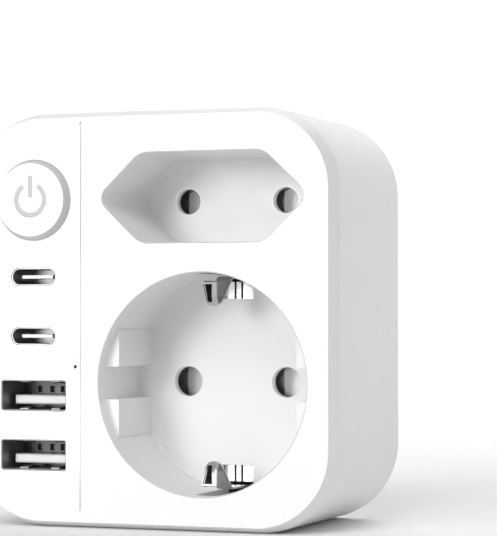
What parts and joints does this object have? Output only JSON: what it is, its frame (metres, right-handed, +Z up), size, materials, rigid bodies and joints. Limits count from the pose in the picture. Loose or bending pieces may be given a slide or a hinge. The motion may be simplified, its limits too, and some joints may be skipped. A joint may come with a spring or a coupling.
{
  "type": "travel adapter",
  "caption": "Compact wall adapter: round earthed socket, flat two-pin socket, USB ports and a push button on the front, flat-blade plug with a round ground pin on the back.",
  "frame": {"origin": "centre of the flat bottom that the adapter stands on", "axes": "+Z up, the socket face looks along -Y, the plug leaves the back along +Y, +X to the right of the socket face"},
  "size_m": [0.07, 0.063, 0.074],
  "materials": {
    "white_gloss": "gloss moulded",
    "white_satin": "satin moulded",
    "white_insert": "satin moulded",
    "white_button": "gloss moulded",
    "symbol_grey": "satin",
    "grey_plastic": "fine texture",
    "black_plastic": "fine texture",
    "spring_steel": "drawn wire",
    "tinned_brass": "tin plated",
    "brass": "rolled",
    "nickel_plate": "nickel plated",
    "board_green": "solder mask",
    "ferrite": "sintered",
    "winding_tape": "polyester tape",
    "can_dark": "sleeved can",
    "fuse_ceramic": "ceramic",
    "led_body": "clear resin",
    "clear_plastic": "clear moulded",
    "wire_brown": "sleeve",
    "wire_blue": "sleeve",
    "screw_steel": "zinc plated",
    "port_shell": "nickel plated sheet",
    "port_tongue": "moulded",
    "gold_plate": "gold flash"
  },
  "bodies": {
    "housing": {"front_cover": "white_gloss", "rear_housing": "white_satin", "round_socket_insert": "white_insert", "flat_socket_insert": "white_insert", "flat_socket_floor": "white_insert", "switch_body": "black_plastic", "button_spring": "spring_steel", "round_shutter_spring": "spring_steel", "flat_shutter_spring": "spring_steel", "round_contact_carrier": "grey_plastic", "flat_contact_carrier": "grey_plastic", "earth_bar": "tinned_brass", "line_bus_bar": "brass", "neutral_bus_bar": "brass", "round_contact_line": "brass", "round_contact_neutral": "brass", "flat_contact_line": "brass", "flat_contact_neutral": "brass", "line_blade": "nickel_plate", "neutral_blade": "nickel_plate", "ground_pin": "nickel_plate", "blade_retainer": "grey_plastic", "port_board": "board_green", "mains_board": "board_green", "transformer_core": "ferrite", "transformer_winding": "winding_tape", "mains_capacitors": "can_dark", "output_capacitors": "can_dark", "input_choke": "ferrite", "bridge_rectifier": "black_plastic", "mains_fuse": "fuse_ceramic", "port_chips": "black_plastic", "indicator_led": "led_body", "light_pipe": "clear_plastic", "board_link_pins": "tinned_brass", "line_wire": "wire_brown", "neutral_wire": "wire_blue", "housing_screws": "screw_steel", "board_screws": "screw_steel", "usb_c_shell_upper": "port_shell", "usb_c_shell_lower": "port_shell", "usb_c_tongue_upper": "port_tongue", "usb_c_tongue_lower": "port_tongue", "usb_a_shell_upper": "port_shell", "usb_a_shell_lower": "port_shell", "usb_a_tongue_upper": "port_tongue", "usb_a_tongue_lower": "port_tongue", "usb_a_contacts_upper": "gold_plate", "usb_a_contacts_lower": "gold_plate"},
    "button": {"power_button": "white_button", "power_symbol": "symbol_grey", "switch_plunger": "black_plastic"},
    "shutter_round": {"round_shutter": "grey_plastic"},
    "shutter_flat": {"flat_shutter": "grey_plastic"},
    "clip_top": {"earth_clip_top": "tinned_brass"},
    "clip_bottom": {"earth_clip_bottom": "tinned_brass"}
  },
  "joints": [
    {"name": "button_press", "type": "slide", "parent": "housing", "child": "button", "axis": [0, 1, 0], "range_m": [0, 0.0015], "stiffness_N_per_m": 700, "springref_m": -0.001, "deforming": ["button_spring"]},
    {"name": "round_shutter_slide", "type": "slide", "parent": "housing", "child": "shutter_round", "axis": [1, 0, 0], "range_m": [0, 0.0058], "stiffness_N_per_m": 80, "springref_m": -0.003, "deforming": ["round_shutter_spring"]},
    {"name": "flat_shutter_slide", "type": "slide", "parent": "housing", "child": "shutter_flat", "axis": [1, 0, 0], "range_m": [0, 0.0052], "stiffness_N_per_m": 80, "springref_m": -0.003, "deforming": ["flat_shutter_spring"]},
    {"name": "earth_clip_top_flex", "type": "hinge", "parent": "housing", "child": "clip_top", "pos_m": [0.0105, 0.0001, 0.04455], "axis": [-1, 0, 0], "range_deg": [0, 6], "stiffness_Nm_per_rad": 0.5, "springref_deg": -1.15},
    {"name": "earth_clip_bottom_flex", "type": "hinge", "parent": "housing", "child": "clip_bottom", "pos_m": [0.0105, 0.0001, 0.00685], "axis": [1, 0, 0], "range_deg": [0, 6], "stiffness_Nm_per_rad": 0.5, "springref_deg": -1.15}
  ]
}
